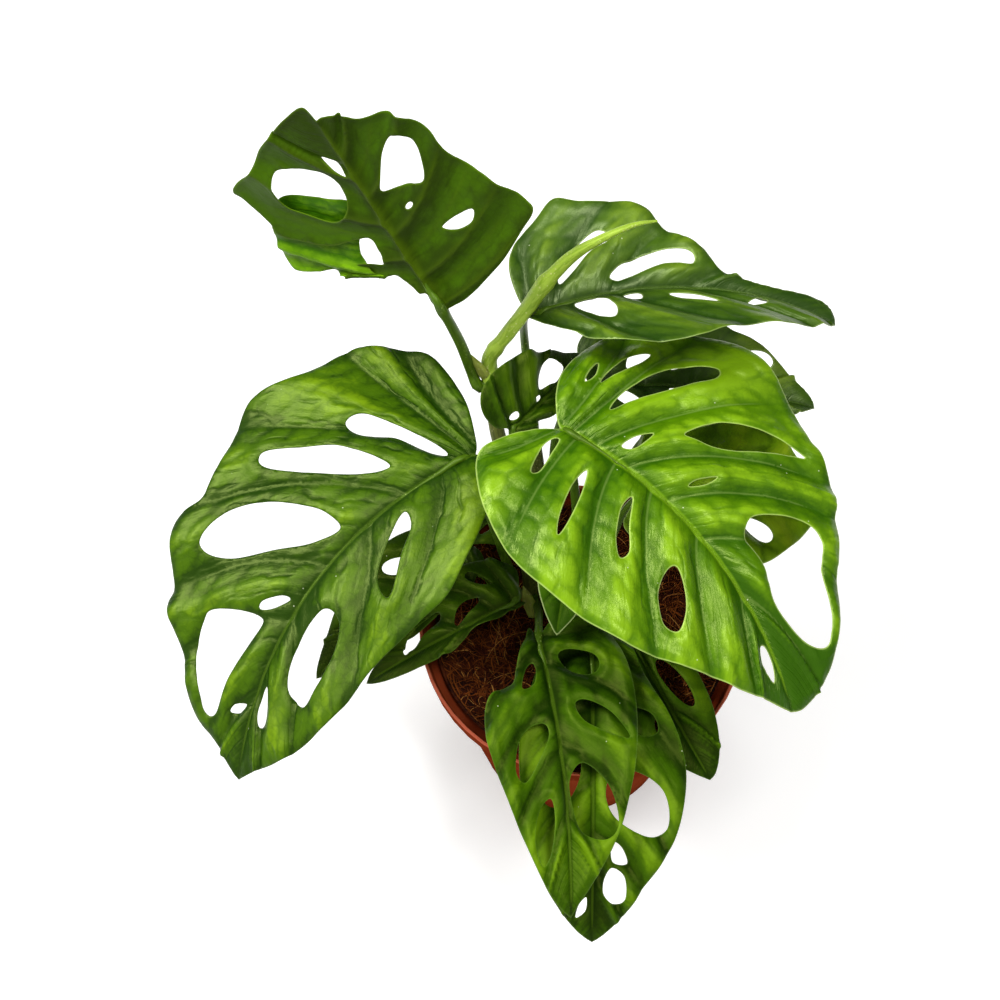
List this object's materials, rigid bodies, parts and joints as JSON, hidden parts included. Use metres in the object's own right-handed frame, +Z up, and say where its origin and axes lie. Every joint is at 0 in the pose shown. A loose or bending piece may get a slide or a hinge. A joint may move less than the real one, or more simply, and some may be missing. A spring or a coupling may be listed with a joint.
{
  "type": "potted monstera adansonii plant",
  "caption": "Climbing houseplant with large perforated heart-shaped leaves on thin vines, standing in coir in a round tapered nursery pot.",
  "frame": {"origin": "centre of the pot's underside, on the surface that the pot stands on", "axes": "+Z up along the pot's axis, -Y towards the viewer of the front view, +X to the right in that view"},
  "size_m": [0.2307, 0.2137, 0.2962],
  "materials": {
    "pot_plastic": "thin satin terracotta coloured plastic",
    "coir": "matte coir, dark red brown with tan fibres",
    "stem": "olive green vine bark, satin",
    "shoot": "lime green young tissue, satin",
    "leaf_olive_underside": "satin leaf underside, olive yellow green with a raised pale midrib",
    "leaf_grey_green": "glossy leaf, mid to dark green with a grey sheen",
    "leaf_mid_green": "glossy leaf, mid green with darker vein grooves and pale margins",
    "leaf_bright_green": "glossy leaf, bright yellow green mottled, pale margins",
    "leaf_dark_green": "satin leaf, dark green",
    "leaf_olive_green": "satin leaf, olive green",
    "leaf_deep_green": "glossy leaf, deep green with sunken veins",
    "leaf_young_green": "soft satin young leaf, fresh green with a pale margin"
  },
  "bodies": {
    "root": {"pot": "pot_plastic", "coir_soil": "coir", "stem_main": "stem", "stem_back": "stem", "stem_right": "stem", "stem_left": "stem", "growing_shoot": "shoot", "leaf_upper_left": "leaf_olive_underside", "leaf_upper_right": "leaf_grey_green", "leaf_left_large": "leaf_mid_green", "leaf_right_large": "leaf_bright_green", "leaf_right_behind": "leaf_dark_green", "leaf_centre_dark": "leaf_dark_green", "leaf_right_under": "leaf_olive_green", "leaf_front": "leaf_deep_green", "leaf_front_under": "leaf_deep_green", "leaf_front_right": "leaf_deep_green", "leaf_low_left": "leaf_dark_green", "leaf_low_left_under": "leaf_dark_green", "leaf_low_inner": "leaf_dark_green", "leaf_small_hanging": "leaf_young_green"}
  },
  "joints": []
}
